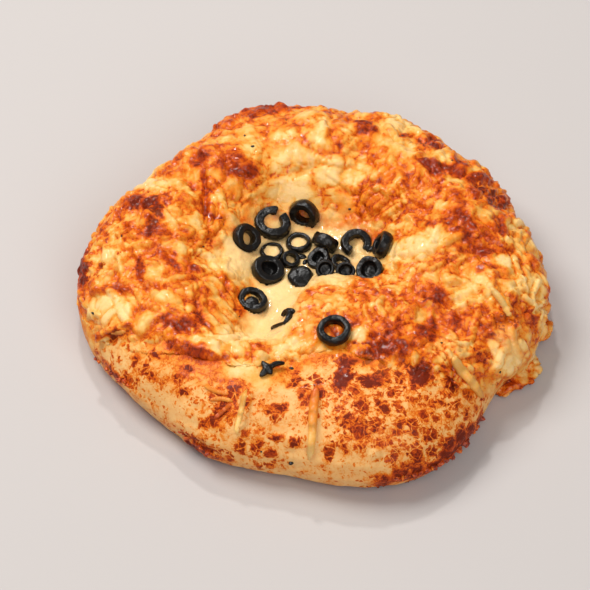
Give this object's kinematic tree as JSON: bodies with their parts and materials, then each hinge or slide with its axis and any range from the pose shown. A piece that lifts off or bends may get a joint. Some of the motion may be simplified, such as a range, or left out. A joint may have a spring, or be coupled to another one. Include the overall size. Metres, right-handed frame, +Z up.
{
  "type": "focaccia",
  "caption": "Round puffed flatbread with a deep dimple, melted browned cheese over it, and black olive slices in the dimple.",
  "frame": {"origin": "on the table under the middle of the loaf's box", "axes": "+Z up out of the table, -Y towards the front, where the bare crust shows, +X to the right"},
  "size_m": [0.191, 0.1884, 0.0416],
  "materials": {
    "crust": "matte baked crust",
    "cheese": "melted, oily sheen",
    "olive": "wet sheen"
  },
  "bodies": {
    "root": {"bread": "crust", "cheese": "cheese", "olive_01": "olive", "olive_02": "olive", "olive_03": "olive", "olive_04": "olive", "olive_05": "olive", "olive_06": "olive", "olive_07": "olive", "olive_08": "olive", "olive_09": "olive", "olive_10": "olive", "olive_11": "olive", "olive_12": "olive", "olive_13": "olive", "olive_14": "olive", "olive_15": "olive", "olive_16": "olive", "olive_17": "olive", "olive_18": "olive", "olive_bit_hook": "olive", "olive_bit_twist": "olive"}
  },
  "joints": []
}
